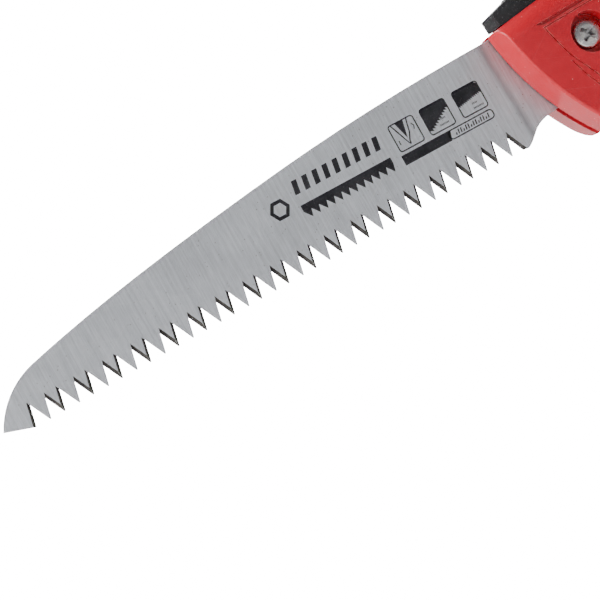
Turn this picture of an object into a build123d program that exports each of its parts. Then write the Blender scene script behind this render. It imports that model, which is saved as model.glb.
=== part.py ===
"""Folding pruning saw with a 180 mm pull-cut blade, open and ready to lock.

The saw points its tip towards -X, its back up along +Z and its near flank
towards -Y. The origin is the centre of the lanyard hole in the butt of the
handle. Side outlines are written from the pivot: x towards the butt, y up.
"""

from build123d import *
from math import cos, radians, sin, tan
import os

os.makedirs("parts", exist_ok=True)

# ---- driving dimensions, in millimetres and degrees -------------------------
LANYARD = (208.5, 3.0)  # lanyard hole, seen from the pivot

BLADE_T = 1.25  # blade thickness
TANG_R = 13.5  # round end of the tang about the pivot
TANG_TOP = 9.6  # lowered edge of the tang inside the handle
HEEL_ANGLE = 23.1  # where the heel meets the tang's round end, from straight down
TOOTH_PITCH = 4.6
GULLETS = 36
FIRST_GULLET = (-196.2, -15.5)  # root nearest the nose
ROOT_SLOPE = 0.0117  # the tooth line climbs this much per millimetre
FRONT_RAKE = 12.0  # tooth edge that looks at the handle
BACK_RAKE = 26.0  # tooth edge that looks at the nose
FLEAM_SHIFT = 0.5  # sideways drift of each gullet from mid plane to face
CUT_DEPTH = 14.0  # how far a gullet cutter reaches past its root

SHELL_T = 11.5  # half the handle's thickness
SLOT_HALF = 1.35  # half the blade slot
EDGE_R = 6.0  # rounding along the back and belly
FRONT_EDGE_R = 0.8
FRONT_SLANT = 0.11  # the front face leans back this much per millimetre from mid plane
BEYOND = 17.0  # well outside the flanks
SCORE_WIDTH = 0.4  # line scored round the field at the pivot
SCORE_DEPTH = 0.45
GROOVE_DEPTH = 0.9

BUSH_R = 4.0
BUSH_BORE_R = 2.55
PIVOT_FIT = 0.03  # running clearance of the blade on its bush
WASHER_R = 9.0
WASHER_GAP = 0.05
SCREW_R = 2.5
SCREW_FIT = 0.1  # clearance of screws in plain holes
NUT_FIT = 0.05
CROSS_SPAN = 5.2
CROSS_WIDTH = 1.1
CROSS_DEPTH = 1.7
SCREW_HEAD_R = 4.5
SCREW_HEAD_H = 2.6
SEAT = 6.7  # seat of the screw head and of the spring washer, from mid plane
COUNTERBORE_R = 6.4
NUT_FLAT_R = 4.0
NUT_H = 4.0
SPRING_WASHER_T = 1.2
SPRING_WASHER_R = 4.6
SPRING_WASHER_CUT = 0.7
HEAD_ROUNDING = 1.1  # edge of the screw head
CROSS_ANGLES = (38.0, 128.0)

LEVER_HALF = 5.35
LEVER_ROOM = 0.3  # clearance beside the lock lever
LEVER_PIN = (8.0, 15.7)
LEVER_PIN_R = 1.5
LEVER_PIN_HALF = 7.6
LEVER_FIT = 0.05
PAWL_HALF = 1.0
SPRING_AT = 17.8
SPRING_SEAT = 15.0
SPRING_TOP = 20.2
SPRING_R = 2.0
SPRING_WIRE_R = 0.3
SPRING_TURNS = 5
SPRING_ROOM_R = 2.9  # leaves room for the spring as the lever rocks
SPRING_END_GAP = 0.02
SPRING_ROOM_H = 10.0

STOP_PIN = (27.75, 16.55)
STOP_PIN_R = 1.75
STOP_PIN_HALF = 7.5

SHELL_SCREWS = ((60.0, 17.2), (125.0, 9.2), (183.0, 4.2), (213.4, -13.0))
SHELL_SCREW_R = 1.3
SHELL_SCREW_HEAD_R = 2.6
SHELL_SCREW_HEAD_H = 1.8
SHELL_SCREW_SEAT = 7.6
SHELL_SCREW_END = 8.6
SHELL_SCREW_TIP_GAP = 0.6

SLEEVE_R = 4.0
SLEEVE_BORE_R = 3.2
SLEEVE_FLANGE_R = 4.8
SLEEVE_FLANGE_T = 0.6

GRIP_FLOOR = 9.9  # bottom of the grip pockets, from mid plane
GRIP_PROUD = 0.8
BACK_GRIP_HALF = 5.5
BACK_GRIP_DEPTH = 1.6
BACK_GRIP_ROOM = 3.0  # the cutter's reach above the back
BAND_FROM = 52.0
BAND_TO = 188.0

# ---- outlines, from the pivot -----------------------------------------------
TOP_FRONT = (-25.7, 13.5)
FRONT_MIDDLE = (-21.4, -4.3)
LOW_FRONT = (-8.4, -27.6)
BACK_START = (1.0, 0.16)  # direction of the back where it leaves the front edge
BACK_AND_BUTT = (
    TOP_FRONT,
    (46.0, 22.3),
    (96.0, 18.2),
    (150.0, 10.5),
    (208.0, 10.9),
    (219.0, -2.0),
    (216.0, -25.0),
    (205.5, -30.5),
    (185.5, -25.0),
)
BELLY = ((70.0, -25.0), (30.0, -23.6), LOW_FRONT)
CAVITY = (
    (-45.0, 20.0),
    (-22.4, 20.0),
    (-22.4, 9.85),
    (-16.6, 9.85),
    (-16.6, 12.0),
    (11.0, 12.0),
    (11.0, 13.7),
    (24.8, 13.7),
    (25.4, 18.5),
    (37.0, 18.5),
    (193.0, -2.4),
    (206.0, -4.8),
    (209.3, -9.5),
    (209.3, -50.0),
    (-45.0, -50.0),
)
BEHIND_FRONT = ((3.0, -45.0), (300.0, -45.0), (300.0, 33.5), (-28.5, 33.5))
LEVER_POCKET = (
    (-22.4, 34.0),
    (-22.4, 10.9),
    (10.8, 10.9),
    (12.8, SPRING_SEAT),
    (24.8, SPRING_SEAT),
    (24.8, 34.0),
)
PANEL = (
    (-12.8, 7.6),
    (22.4, 9.2),
    (28.8, 4.0),
    (24.2, -13.6),
    (-4.3, -13.3),
    (-6.8, -8.4),
    (-9.4, -3.7),
    (-11.2, 1.6),
)
FOOT_SCORE = ((-10.0, -4.7), (-8.1, -10.6), (-5.7, -15.6), (-5.2, -15.4), (-7.7, -10.4), (-9.8, -4.6))
GROOVE = ((-14.8, 9.2), (-12.4, 8.2), (22.0, 9.8), (24.0, 11.2), (22.0, 11.2))
GRIP = (
    (36.0, 4.0),
    (44.0, 11.4),
    (62.0, 12.6),
    (100.0, 8.9),
    (125.0, 5.8),
    (160.0, 1.6),
    (183.0, -1.4),
    (195.0, -8.0),
    (186.0, -17.0),
    (130.0, -18.6),
    (80.0, -18.4),
    (48.0, -16.4),
    (37.0, -8.0),
)
SPINE = (
    (-23.2, 12.85),
    (-57.0, 11.7),
    (-90.3, 9.1),
    (-116.2, 6.0),
    (-154.0, 0.4),
    (-177.6, -4.1),
    (-190.5, -7.1),
)
NOSE = ((-190.5, -7.1), (-200.6, -12.7), (-206.1, -20.0))
TOOTH_BAND = ((-197.4, -22.9), (-31.5, -21.0))  # below the tooth tips
HEEL = (
    (-30.4, -21.2),
    (-27.7, -19.4),
    (-25.1, -17.2),
    (-21.1, -15.6),
    (-16.0, -14.9),
    (-11.0, -13.4),
)
NOTCH = ((-15.4, 9.7), (-15.1, 7.6), (-11.3, 7.6), (-10.8, 9.7))
LEVER_UNDERSIDE = (
    (-21.9, 14.5),
    (-12.0, 14.5),
    (-6.0, 15.0),
    (3.0, 14.8),
    (5.8, 13.2),
    (10.2, 13.2),
    (13.5, 16.6),
    (24.0, 17.2),
    (24.2, 22.0),
)
LEVER_TOP = ((24.2, 22.0), (18.0, 25.0), (9.0, 25.7), (-2.0, 23.9), (-22.2, 18.7))
PAWL = (
    (-15.4, 9.95),
    (-12.6, 9.95),
    (-11.9, 13.4),
    (-4.0, 15.9),
    (-4.0, 19.4),
    (-17.2, 16.9),
    (-17.2, 13.2),
    (-15.9, 13.2),
)


def side(offset=0.0):
    """Plane of the saw's side view through the pivot; offset counts towards the near flank."""
    return Plane(origin=(-LANYARD[0], -offset, -LANYARD[1]), x_dir=(1, 0, 0), z_dir=(0, -1, 0))


def at(offset, outline):
    """Outline drawn from the pivot, placed on the side view plane."""
    return side(offset) * outline


def polygon(points):
    """Straight-sided outline."""
    with BuildSketch() as sketch:
        with BuildLine():
            Polyline(*points, close=True)
        make_face()
    return sketch.sketch


def disc(centre, radius):
    """Round outline."""
    with BuildSketch() as sketch:
        with Locations(centre):
            Circle(radius)
    return sketch.sketch


def ring(centre, outer, inner):
    """Annular outline."""
    with BuildSketch() as sketch:
        with Locations(centre):
            Circle(outer)
            Circle(inner, mode=Mode.SUBTRACT)
    return sketch.sketch


def hexagon(flat_radius):
    """Nut outline about the pivot."""
    with BuildSketch() as sketch:
        RegularPolygon(flat_radius, 6, major_radius=False)
    return sketch.sketch


def arc_chain(points, direction):
    """Arcs through the points, each leaving along the last one's end direction."""
    arcs = [TangentArc(points[0], points[1], tangent=direction)]
    for start, end in zip(points[1:], points[2:]):
        arcs.append(TangentArc(start, end, tangent=arcs[-1] % 1))


def handle_outline(grow=0.0):
    """Whole handle, grown or shrunk all round."""
    with BuildSketch() as sketch:
        with BuildLine():
            ThreePointArc(TOP_FRONT, FRONT_MIDDLE, LOW_FRONT)
            arc_chain(BACK_AND_BUTT, BACK_START)
            Line(BACK_AND_BUTT[-1], BELLY[0])
            arc_chain(BELLY, (-1.0, 0.0))
        make_face()
        if grow:
            offset(sketch.faces(), amount=grow, mode=Mode.REPLACE)
    return sketch.sketch


def grip_outline():
    """Soft inlay on a flank."""
    with BuildSketch() as sketch:
        with BuildLine():
            Spline(*GRIP, periodic=True)
        make_face()
    return sketch.sketch


def back_band(inner, outer):
    """Strip along the handle's back between two offsets of its outline."""
    with BuildSketch() as sketch:
        add(handle_outline(outer))
        add(handle_outline(inner), mode=Mode.SUBTRACT)
        with Locations(((BAND_FROM + BAND_TO) / 2, 20.0)):
            Rectangle(BAND_TO - BAND_FROM, 40.0, mode=Mode.INTERSECT)
    return sketch.sketch


def slab(outline, start, end, mode=Mode.ADD):
    """Add or cut an outline between two offsets from mid plane, near flank positive."""
    extrude(at(start, outline), amount=end - start, mode=mode)


def drill(centre, radius, start, end):
    """Round hole across the saw between two offsets."""
    slab(disc(centre, radius), start, end, Mode.SUBTRACT)


# ---- handle shells ----------------------------------------------------------
def flank_edges(part, flank):
    """Edges of a shell's flank, all but the slanted front one."""
    face = part.faces().sort_by(Axis.Y)[0 if flank > 0 else -1]
    return face.edges().sort_by(Axis.X)[1:]


def front_edges(part, flank):
    """The slanted front edge of a shell's flank."""
    face = part.faces().sort_by(Axis.Y)[0 if flank > 0 else -1]
    return face.edges().sort_by(Axis.X)[:1]


def behind_front(offset):
    """Everything behind the slanted front face, at an offset from mid plane."""
    with BuildSketch() as sketch:
        with BuildLine():
            ThreePointArc(TOP_FRONT, FRONT_MIDDLE, LOW_FRONT)
            Polyline(LOW_FRONT, *BEHIND_FRONT, TOP_FRONT)
        make_face()
    return side(offset) * Pos(abs(offset) * FRONT_SLANT, 0.0, 0.0) * sketch.sketch


def lean_front(flank):
    """Cut a shell's front face so that it leans back towards the flank."""
    loft([behind_front(0.0), behind_front(flank * BEYOND)], ruled=True, mode=Mode.INTERSECT)


def panel_scores():
    """Thin line round the field at the pivot, and a second one beside its foot."""
    with BuildSketch() as sketch:
        with BuildLine():
            Polyline(*PANEL, close=True)
        make_face()
        offset(amount=-SCORE_WIDTH, kind=Kind.INTERSECTION, mode=Mode.SUBTRACT)
        add(polygon(FOOT_SCORE))
    return sketch.sketch


def shell_insides(flank):
    """Blade cavity, lever pocket, grip pockets and the bores that both shells share."""
    slab(polygon(CAVITY), 0.0, flank * SLOT_HALF, Mode.SUBTRACT)
    slab(polygon(LEVER_POCKET), 0.0, flank * (LEVER_HALF + LEVER_ROOM), Mode.SUBTRACT)
    slab(grip_outline(), flank * GRIP_FLOOR, flank * BEYOND, Mode.SUBTRACT)
    slab(back_band(-BACK_GRIP_DEPTH, BACK_GRIP_ROOM), 0.0, flank * BACK_GRIP_HALF, Mode.SUBTRACT)
    drill((0, 0), SCREW_R + SCREW_FIT, 0.0, flank * BEYOND)
    drill(LEVER_PIN, LEVER_PIN_R, 0.0, flank * LEVER_PIN_HALF)
    drill(STOP_PIN, STOP_PIN_R, 0.0, flank * STOP_PIN_HALF)
    drill(LANYARD, SLEEVE_R, 0.0, flank * BEYOND)
    drill(LANYARD, SLEEVE_FLANGE_R, flank * (SHELL_T - SLEEVE_FLANGE_T), flank * BEYOND)


with BuildPart() as near_shell:
    slab(handle_outline(), 0.0, SHELL_T)
    fillet(flank_edges(near_shell, 1), EDGE_R)
    lean_front(1)
    fillet(front_edges(near_shell, 1), FRONT_EDGE_R)
    slab(panel_scores(), SHELL_T - SCORE_DEPTH, BEYOND, Mode.SUBTRACT)
    slab(polygon(GROOVE), SHELL_T - GROOVE_DEPTH, BEYOND, Mode.SUBTRACT)
    shell_insides(1)
    drill((0, 0), COUNTERBORE_R, SEAT, BEYOND)
    for spot in SHELL_SCREWS:
        drill(spot, SHELL_SCREW_R, 0.0, SHELL_SCREW_END)
near_shell.part.label = "near_shell"
export_step(near_shell.part, "parts/near_shell.step")

with BuildPart() as far_shell:
    slab(handle_outline(), 0.0, -SHELL_T)
    fillet(flank_edges(far_shell, -1), EDGE_R)
    lean_front(-1)
    fillet(front_edges(far_shell, -1), FRONT_EDGE_R)
    slab(panel_scores(), SCORE_DEPTH - SHELL_T, -BEYOND, Mode.SUBTRACT)
    slab(polygon(GROOVE), GROOVE_DEPTH - SHELL_T, -BEYOND, Mode.SUBTRACT)
    shell_insides(-1)
    drill((0, 0), SPRING_WASHER_R + SCREW_FIT, -SEAT, -SEAT - SPRING_WASHER_T)
    slab(hexagon(NUT_FLAT_R + NUT_FIT), -SEAT - SPRING_WASHER_T, -BEYOND, Mode.SUBTRACT)
    for spot in SHELL_SCREWS:
        drill(spot, SHELL_SCREW_R + SCREW_FIT, 0.0, -BEYOND)
        drill(spot, SHELL_SCREW_HEAD_R + SCREW_FIT, -SHELL_SCREW_SEAT, -BEYOND)
far_shell.part.label = "far_shell"
export_step(far_shell.part, "parts/far_shell.step")

# ---- soft grips -------------------------------------------------------------
with BuildPart() as near_grip:
    slab(grip_outline(), GRIP_FLOOR, SHELL_T + GRIP_PROUD)
near_grip.part.label = "near_grip"
export_step(near_grip.part, "parts/near_grip.step")

with BuildPart() as far_grip:
    slab(grip_outline(), -GRIP_FLOOR, -SHELL_T - GRIP_PROUD)
far_grip.part.label = "far_grip"
export_step(far_grip.part, "parts/far_grip.step")

with BuildPart() as back_grip:
    slab(back_band(-BACK_GRIP_DEPTH, GRIP_PROUD), -BACK_GRIP_HALF, BACK_GRIP_HALF)
back_grip.part.label = "back_grip"
export_step(back_grip.part, "parts/back_grip.step")


# ---- blade ------------------------------------------------------------------
def blade_outline():
    """Blade before its teeth are cut, with its pivot hole and lock notch."""
    back_x = -((TANG_R**2 - TANG_TOP**2) ** 0.5)
    rim_x = back_x / 2
    heel_end = (-TANG_R * sin(radians(HEEL_ANGLE)), -TANG_R * cos(radians(HEEL_ANGLE)))
    with BuildSketch() as sketch:
        with BuildLine():
            Spline(*SPINE)
            ThreePointArc(*NOSE)
            Polyline(NOSE[-1], TOOTH_BAND[0], TOOTH_BAND[1], HEEL[0])
            Spline(*HEEL)
            Line(HEEL[-1], heel_end)
            ThreePointArc(heel_end, (TANG_R, 0.0), (0.0, TANG_R))
            ThreePointArc((0.0, TANG_R), (rim_x, (TANG_R**2 - rim_x**2) ** 0.5), (back_x, TANG_TOP))
            Polyline((back_x, TANG_TOP), (SPINE[0][0] + 0.3, TANG_TOP), SPINE[0])
        make_face()
        Circle(BUSH_R + PIVOT_FIT, mode=Mode.SUBTRACT)
        add(polygon(NOTCH), mode=Mode.SUBTRACT)
    return sketch.sketch


def gullet_cutter(index):
    """Oblique V-shaped cutter of one gullet, drifting left or right by turns."""
    drift = (FLEAM_SHIFT if index % 2 else -FLEAM_SHIFT) / (BLADE_T / 2)
    reach = BLADE_T / 2 + 0.4
    x = FIRST_GULLET[0] + index * TOOTH_PITCH - drift * reach
    y = FIRST_GULLET[1] + index * TOOTH_PITCH * ROOT_SLOPE
    left = (x - CUT_DEPTH * tan(radians(FRONT_RAKE)), y - CUT_DEPTH)
    right = (x + CUT_DEPTH * tan(radians(BACK_RAKE)), y - CUT_DEPTH)
    profile = at(-reach, polygon(((x, y), left, right)))
    length = 2 * reach * (1 + drift**2) ** 0.5
    return extrude(profile, amount=length, dir=(drift, -1.0, 0.0), mode=Mode.PRIVATE)


gullet_cutters = [gullet_cutter(number) for number in range(GULLETS)]

with BuildPart() as blade:
    slab(blade_outline(), -BLADE_T / 2, BLADE_T / 2)
    for cutter in gullet_cutters:
        add(cutter, mode=Mode.SUBTRACT)
blade.part.label = "blade"
export_step(blade.part, "parts/blade.step")

# ---- pivot ------------------------------------------------------------------
with BuildPart() as pivot_bushing:
    slab(ring((0, 0), BUSH_R, BUSH_BORE_R), -SLOT_HALF, SLOT_HALF)
pivot_bushing.part.label = "pivot_bushing"
export_step(pivot_bushing.part, "parts/pivot_bushing.step")

with BuildPart() as near_washer:
    slab(ring((0, 0), WASHER_R, BUSH_R + PIVOT_FIT), BLADE_T / 2 + WASHER_GAP, SLOT_HALF)
near_washer.part.label = "near_washer"
export_step(near_washer.part, "parts/near_washer.step")

with BuildPart() as far_washer:
    slab(ring((0, 0), WASHER_R, BUSH_R + PIVOT_FIT), -BLADE_T / 2 - WASHER_GAP, -SLOT_HALF)
far_washer.part.label = "far_washer"
export_step(far_washer.part, "parts/far_washer.step")

with BuildPart() as pivot_screw:
    slab(disc((0, 0), SCREW_HEAD_R), SEAT, SEAT + SCREW_HEAD_H)
    fillet(pivot_screw.faces().sort_by(Axis.Y)[0].edges(), HEAD_ROUNDING)
    slab(disc((0, 0), SCREW_R), SEAT, -SEAT - SPRING_WASHER_T - NUT_H)
    for angle in CROSS_ANGLES:
        with BuildSketch(side(SEAT + SCREW_HEAD_H)):
            Rectangle(CROSS_SPAN, CROSS_WIDTH, rotation=angle)
        extrude(amount=-CROSS_DEPTH, mode=Mode.SUBTRACT)
pivot_screw.part.label = "pivot_screw"
export_step(pivot_screw.part, "parts/pivot_screw.step")

with BuildPart() as spring_washer:
    slab(ring((0, 0), SPRING_WASHER_R, SCREW_R + SCREW_FIT), -SEAT, -SEAT - SPRING_WASHER_T)
    with BuildSketch(side(-SEAT)):
        with Locations((SPRING_WASHER_R, 0)):
            Rectangle(SPRING_WASHER_R, SPRING_WASHER_CUT)
    extrude(amount=-SPRING_WASHER_T, mode=Mode.SUBTRACT)
spring_washer.part.label = "spring_washer"
export_step(spring_washer.part, "parts/spring_washer.step")

with BuildPart() as pivot_nut:
    slab(hexagon(NUT_FLAT_R), -SEAT - SPRING_WASHER_T, -SEAT - SPRING_WASHER_T - NUT_H)
    drill((0, 0), SCREW_R, -SEAT, -BEYOND)
pivot_nut.part.label = "pivot_nut"
export_step(pivot_nut.part, "parts/pivot_nut.step")


# ---- lock -------------------------------------------------------------------
def lever_outline():
    """Lock lever: flat underside, boss round its pin and a thumb ramp on top."""
    with BuildSketch() as sketch:
        with BuildLine():
            Polyline(*LEVER_UNDERSIDE)
            Spline(*LEVER_TOP, tangents=((-0.8, 1.0), (-1.0, -0.3)))
            Line(LEVER_TOP[-1], LEVER_UNDERSIDE[0])
        make_face()
    return sketch.sketch


with BuildPart() as lock_lever:
    slab(lever_outline(), -LEVER_HALF, LEVER_HALF)
    drill(LEVER_PIN, LEVER_PIN_R + LEVER_FIT, -LEVER_HALF, LEVER_HALF)
    slab(polygon(PAWL), -PAWL_HALF, PAWL_HALF, Mode.SUBTRACT)
    with BuildSketch(Plane((SPRING_AT - LANYARD[0], 0, SPRING_TOP - LANYARD[1]), z_dir=(0, 0, -1))):
        Circle(SPRING_ROOM_R)
    extrude(amount=SPRING_ROOM_H, mode=Mode.SUBTRACT)
lock_lever.part.label = "lock_lever"
export_step(lock_lever.part, "parts/lock_lever.step")

with BuildPart() as lock_pawl:
    slab(polygon(PAWL), -PAWL_HALF, PAWL_HALF)
lock_pawl.part.label = "lock_pawl"
export_step(lock_pawl.part, "parts/lock_pawl.step")

with BuildPart() as lever_pin:
    slab(disc(LEVER_PIN, LEVER_PIN_R), -LEVER_PIN_HALF, LEVER_PIN_HALF)
lever_pin.part.label = "lever_pin"
export_step(lever_pin.part, "parts/lever_pin.step")

with BuildPart() as lock_spring:
    foot = SPRING_SEAT + SPRING_WIRE_R + SPRING_END_GAP
    height = SPRING_TOP - SPRING_WIRE_R - SPRING_END_GAP - foot
    with BuildLine(Plane((SPRING_AT - LANYARD[0], 0, foot - LANYARD[1]))) as coil:
        Helix(height / SPRING_TURNS, height, SPRING_R)
    with BuildSketch(coil.line ^ 0):
        Circle(SPRING_WIRE_R)
    sweep(is_frenet=True)
lock_spring.part.label = "lock_spring"
export_step(lock_spring.part, "parts/lock_spring.step")

# ---- stop and fasteners -----------------------------------------------------
with BuildPart() as stop_pin:
    slab(disc(STOP_PIN, STOP_PIN_R), -STOP_PIN_HALF, STOP_PIN_HALF)
stop_pin.part.label = "stop_pin"
export_step(stop_pin.part, "parts/stop_pin.step")

with BuildPart() as shell_screws:
    for spot in SHELL_SCREWS:
        slab(disc(spot, SHELL_SCREW_R), SHELL_SCREW_END - SHELL_SCREW_TIP_GAP, -SHELL_SCREW_SEAT)
        slab(disc(spot, SHELL_SCREW_HEAD_R), -SHELL_SCREW_SEAT, -SHELL_SCREW_SEAT - SHELL_SCREW_HEAD_H)
shell_screws.part.label = "shell_screws"
export_step(shell_screws.part, "parts/shell_screws.step")

with BuildPart() as lanyard_sleeve:
    slab(ring(LANYARD, SLEEVE_R, SLEEVE_BORE_R), -SHELL_T, SHELL_T)
    for flank in (1, -1):
        rim = ring(LANYARD, SLEEVE_FLANGE_R, SLEEVE_BORE_R)
        slab(rim, flank * (SHELL_T - SLEEVE_FLANGE_T), flank * SHELL_T)
lanyard_sleeve.part.label = "lanyard_sleeve"
export_step(lanyard_sleeve.part, "parts/lanyard_sleeve.step")
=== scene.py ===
"""Looks of a folding pruning saw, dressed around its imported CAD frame.

The saw points its tip towards -X, its back up along +Z and its near flank
towards -Y. Side outlines are written from the pivot, x towards the butt and
z up, in millimetres; meshes are in metres in the frame's own axes.
"""

import logging
import math
from dataclasses import dataclass
from enum import Enum
from typing import Iterable, Optional, Sequence, Union

import bmesh
import bpy
from mathutils import Matrix, Vector
from mathutils.bvhtree import BVHTree


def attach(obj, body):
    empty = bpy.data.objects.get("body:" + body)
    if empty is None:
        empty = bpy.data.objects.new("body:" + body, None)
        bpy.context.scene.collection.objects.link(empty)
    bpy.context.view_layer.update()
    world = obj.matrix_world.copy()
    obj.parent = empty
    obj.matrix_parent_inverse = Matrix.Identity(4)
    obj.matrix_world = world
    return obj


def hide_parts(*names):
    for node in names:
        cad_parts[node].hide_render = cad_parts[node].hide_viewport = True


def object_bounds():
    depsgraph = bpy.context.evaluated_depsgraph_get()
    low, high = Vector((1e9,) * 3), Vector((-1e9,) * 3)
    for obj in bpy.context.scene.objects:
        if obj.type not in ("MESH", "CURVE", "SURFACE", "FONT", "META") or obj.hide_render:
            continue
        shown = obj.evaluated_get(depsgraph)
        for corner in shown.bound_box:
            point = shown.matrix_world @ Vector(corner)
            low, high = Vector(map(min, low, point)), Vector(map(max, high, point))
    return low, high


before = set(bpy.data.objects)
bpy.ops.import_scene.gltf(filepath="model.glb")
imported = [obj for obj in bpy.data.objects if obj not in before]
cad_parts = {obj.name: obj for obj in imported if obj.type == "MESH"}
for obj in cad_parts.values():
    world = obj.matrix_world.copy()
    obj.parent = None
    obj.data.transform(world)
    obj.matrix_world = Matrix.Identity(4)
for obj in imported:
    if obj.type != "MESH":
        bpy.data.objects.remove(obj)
CAD_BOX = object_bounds()

LOG = logging.getLogger("saw")
MM = 0.001
PIVOT = Vector((-208.5, 0.0, -3.0)) * MM

Socket = bpy.types.NodeSocket
Value = Union[float, Sequence[float], Socket]
Outline = Sequence[tuple[float, float]]


class Flank(Enum):
    """The two sides of the saw, by the sign of Y."""

    NEAR = -1.0
    FAR = 1.0


class Body(Enum):
    """Moving bodies of the frame."""

    HANDLE = "handle"
    BLADE = "blade"
    LEVER = "lever"


# ---- node trees --------------------------------------------------------------
class Tree:
    """Adds nodes and links to one node tree."""

    def __init__(self, tree: bpy.types.NodeTree) -> None:
        """Keep the tree that nodes go to."""
        self.tree = tree

    def add(self, kind: str, inputs: Optional[dict] = None, **settings: object) -> bpy.types.Node:
        """Add a node.

        Args:
            kind: Blender's name of the node type.
            inputs: values or sockets by input name or index.
            settings: the node's own properties.

        Returns:
            The new node.
        """
        node = self.tree.nodes.new(kind)
        for name, setting in settings.items():
            setattr(node, name, setting)
        for key, value in (inputs or {}).items():
            if isinstance(value, Socket):
                self.tree.links.new(value, node.inputs[key])
            else:
                node.inputs[key].default_value = value
        return node

    def math(self, operation: str, *values: Value, clamp: bool = False) -> Socket:
        """Add a Math node.

        Args:
            operation: Blender's name of the operation.
            values: one to three constants or sockets.
            clamp: whether the result is held between 0 and 1.

        Returns:
            The result.
        """
        node = self.add("ShaderNodeMath", dict(enumerate(values)), operation=operation)
        node.use_clamp = clamp
        return node.outputs[0]

    def ramp(self, value: Value, start: float, end: float, low: float = 0.0, high: float = 1.0) -> Socket:
        """Return value mapped smoothly from start..end to low..high."""
        sockets = {"Value": value, "From Min": start, "From Max": end, "To Min": low, "To Max": high}
        return self.add("ShaderNodeMapRange", sockets, interpolation_type="SMOOTHSTEP").outputs[0]

    def mix(self, factor: Value, first: Value, second: Value) -> Socket:
        """Return two colours mixed by a factor."""
        node = self.add("ShaderNodeMix", {0: factor, 6: first, 7: second}, data_type="RGBA")
        return node.outputs[2]

    def noise(self, vector: Socket, scale: Value, detail: float = 3.0, rough: float = 0.5) -> Socket:
        """Return the value of a noise texture."""
        sockets = {"Vector": vector, "Scale": scale, "Detail": detail, "Roughness": rough}
        return self.add("ShaderNodeTexNoise", sockets).outputs["Fac"]

    def stretched(self, vector: Socket, scale: Sequence[float], turn: float = 0.0) -> Socket:
        """Return a vector scaled along its axes after a turn about Y, in degrees."""
        turned = self.add(
            "ShaderNodeMapping", {"Vector": vector, "Rotation": (0.0, math.radians(turn), 0.0)}
        )
        return self.add("ShaderNodeMapping", {"Vector": turned.outputs[0], "Scale": scale}).outputs[0]


def new_group(name: str, inputs: dict[str, tuple[str, float]], outputs: Sequence[str]) -> tuple:
    """Make an empty shader group.

    Args:
        name: the group's name.
        inputs: socket kind and default by input name.
        outputs: names of float outputs.

    Returns:
        The group, its Tree, its input node and its output node.
    """
    group = bpy.data.node_groups.new(name, "ShaderNodeTree")
    for label, (kind, default) in inputs.items():
        socket = group.interface.new_socket(label, in_out="INPUT", socket_type=kind)
        if kind == "NodeSocketFloat":
            socket.default_value = default
    for label in outputs:
        group.interface.new_socket(label, in_out="OUTPUT", socket_type="NodeSocketFloat")
    tree = Tree(group)
    return group, tree, tree.add("NodeGroupInput"), tree.add("NodeGroupOutput")


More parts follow.
